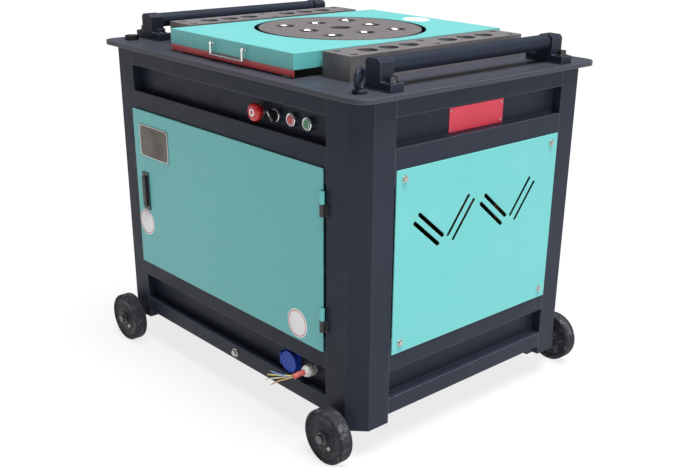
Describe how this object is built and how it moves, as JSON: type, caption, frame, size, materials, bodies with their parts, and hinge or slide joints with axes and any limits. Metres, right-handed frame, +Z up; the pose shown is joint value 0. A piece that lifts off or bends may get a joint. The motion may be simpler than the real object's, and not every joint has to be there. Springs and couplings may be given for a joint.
{
  "type": "rebar bender",
  "caption": "Wheeled steel cabinet with a work table, turning pin disc, drilled backing strips, stock rollers, lift-off cover, hinged door and vented side panels.",
  "frame": {"origin": "on the floor under the centre of the table plate, which is also the disc axis", "axes": "+Z up along the disc axis; +X to the right facing the door; the door and the controls are on the -Y side"},
  "size_m": [0.995, 0.864, 0.881],
  "materials": {
    "charcoal_paint": "semi-gloss charcoal paint",
    "teal_paint": "gloss turquoise paint",
    "bare_steel": "ground, lightly tarnished",
    "machined_steel": "machined",
    "zinc": "zinc plated",
    "chrome": "polished",
    "tyre_rubber": "solid tyre, scuffed",
    "black_metal": "black enamel",
    "red_paint": "gloss red paint",
    "plate_red": "blank red plate",
    "nameplate_metal": "blank etched plate",
    "gear_paint": "painted casting",
    "motor_gold": "golden enamel on a casting",
    "belt_rubber": "matte",
    "grey_box": "powder coat",
    "blue_plastic": "satin",
    "white_plastic": "satin",
    "sheath_red": "soft",
    "core_plastic": "soft",
    "red_plastic": "smooth",
    "green_plastic": "smooth",
    "black_plastic": "satin"
  },
  "bodies": {
    "cabinet": {"table_plate": "charcoal_paint", "corner_posts": "charcoal_paint", "front_bands": "charcoal_paint", "outer_bands": "charcoal_paint", "base_pan": "charcoal_paint", "axle_brackets": "charcoal_paint", "wheel_axles": "bare_steel", "axle_nuts": "zinc", "right_vent_panel": "teal_paint", "left_vent_panel": "teal_paint", "rear_panel": "teal_paint", "panel_bolts": "zinc", "side_blank_plate": "plate_red", "frame_hinges": "black_metal", "hole_strip_left": "bare_steel", "hole_strip_right": "bare_steel", "strip_bolts": "black_metal", "roller_brackets": "charcoal_paint", "table_bolts": "black_metal", "lifting_eye": "charcoal_paint", "gearbox_case": "gear_paint", "gearbox_lid": "gear_paint", "shaft_bearings": "machined_steel", "motor_body": "motor_gold", "motor_fan_cover": "motor_gold", "motor_stand": "charcoal_paint", "drive_belts": "belt_rubber", "electrical_box": "grey_box", "control_bezels": "chrome", "socket_body": "blue_plastic", "cable_gland": "white_plastic", "supply_sheath": "sheath_red", "supply_cores": "core_plastic", "ground_bolt": "zinc"},
    "disc": {"work_disc": "bare_steel", "main_shaft": "machined_steel", "main_gear": "machined_steel"},
    "countershaft": {"counter_gears": "machined_steel"},
    "input_shaft": {"input_shaft": "machined_steel"},
    "rotor": {"motor_rotor": "machined_steel"},
    "door": {"front_door": "teal_paint", "door_hinges": "teal_paint", "door_nameplate": "nameplate_metal", "latch_plate": "black_metal"},
    "latch": {"latch_handle": "black_plastic"},
    "estop": {"estop_button": "red_plastic"},
    "selector": {"selector_knob": "black_plastic"},
    "stop": {"stop_button": "red_plastic"},
    "start": {"start_button": "green_plastic"},
    "inlet_lid": {"socket_lid": "blue_plastic"},
    "cover": {"work_cover": "teal_paint", "cover_trim": "red_paint", "handle_posts": "chrome"},
    "handle": {"cover_handle": "chrome"},
    "left_roller": {"roller_left": "charcoal_paint"},
    "right_roller": {"roller_right": "charcoal_paint"},
    "wheel_fl": {"wheel_front_left": "tyre_rubber"},
    "wheel_fr": {"wheel_front_right": "tyre_rubber"},
    "wheel_rl": {"wheel_rear_left": "tyre_rubber"},
    "wheel_rr": {"wheel_rear_right": "tyre_rubber"}
  },
  "joints": [
    {"name": "disc_spin", "type": "hinge", "parent": "cabinet", "child": "disc", "pos_m": [0, 0, 0.8], "axis": [0, 0, 1], "continuous": true},
    {"name": "counter_spin", "type": "hinge", "parent": "cabinet", "child": "countershaft", "pos_m": [-0.18, 0, 0.7], "axis": [0, 0, 1], "continuous": true},
    {"name": "input_spin", "type": "hinge", "parent": "cabinet", "child": "input_shaft", "pos_m": [-0.18, 0.135, 0.65], "axis": [0, 0, 1], "continuous": true},
    {"name": "rotor_spin", "type": "hinge", "parent": "cabinet", "child": "rotor", "pos_m": [0.285, 0.225, 0.55], "axis": [0, 0, 1], "continuous": true},
    {"name": "door_swing", "type": "hinge", "parent": "cabinet", "child": "door", "pos_m": [0.373, -0.375, 0.45], "axis": [0, 0, 1], "range_deg": [0, 110]},
    {"name": "latch_turn", "type": "hinge", "parent": "door", "child": "latch", "pos_m": [-0.34, -0.37, 0.478], "axis": [0, 1, 0], "range_deg": [0, 90]},
    {"name": "estop_press", "type": "slide", "parent": "cabinet", "child": "estop", "axis": [0, 1, 0], "range_m": [0, 0.006]},
    {"name": "selector_turn", "type": "hinge", "parent": "cabinet", "child": "selector", "pos_m": [0.19, -0.3425, 0.734], "axis": [0, -1, 0], "range_deg": [0, 90]},
    {"name": "stop_press", "type": "slide", "parent": "cabinet", "child": "stop", "axis": [0, 1, 0], "range_m": [0, 0.004], "stiffness_N_per_m": 400, "springref_m": -0.001},
    {"name": "start_press", "type": "slide", "parent": "cabinet", "child": "start", "axis": [0, 1, 0], "range_m": [0, 0.004], "stiffness_N_per_m": 400, "springref_m": -0.001},
    {"name": "lid_swing", "type": "hinge", "parent": "cabinet", "child": "inlet_lid", "pos_m": [0.202, -0.357, 0.159], "axis": [0, 0, -1], "range_deg": [0, 100], "stiffness_Nm_per_rad": 0.02, "springref_deg": -28.65},
    {"name": "cover_lift", "type": "slide", "parent": "cabinet", "child": "cover", "axis": [0, 0, 1], "range_m": [0, 0.08]},
    {"name": "handle_swing", "type": "hinge", "parent": "cover", "child": "handle", "pos_m": [0, -0.351, 0.859], "axis": [1, 0, 0], "range_deg": [-85, 0]},
    {"name": "left_roller_spin", "type": "hinge", "parent": "cabinet", "child": "left_roller", "pos_m": [-0.427, 0, 0.8635], "axis": [0, 1, 0], "continuous": true},
    {"name": "right_roller_spin", "type": "hinge", "parent": "cabinet", "child": "right_roller", "pos_m": [0.427, 0, 0.8635], "axis": [0, 1, 0], "continuous": true},
    {"name": "wheel_fl_spin", "type": "hinge", "parent": "cabinet", "child": "wheel_fl", "pos_m": [-0.428, -0.403, 0.065], "axis": [0, 1, 0], "continuous": true},
    {"name": "wheel_fr_spin", "type": "hinge", "parent": "cabinet", "child": "wheel_fr", "pos_m": [0.428, -0.403, 0.065], "axis": [0, 1, 0], "continuous": true},
    {"name": "wheel_rl_spin", "type": "hinge", "parent": "cabinet", "child": "wheel_rl", "pos_m": [-0.428, 0.403, 0.065], "axis": [0, 1, 0], "continuous": true},
    {"name": "wheel_rr_spin", "type": "hinge", "parent": "cabinet", "child": "wheel_rr", "pos_m": [0.428, 0.403, 0.065], "axis": [0, 1, 0], "continuous": true}
  ],
  "couplings": [
    {"joint": "counter_spin", "follows": "disc_spin", "ratio": -4},
    {"joint": "input_spin", "follows": "disc_spin", "ratio": 16},
    {"joint": "rotor_spin", "follows": "disc_spin", "ratio": 48}
  ]
}
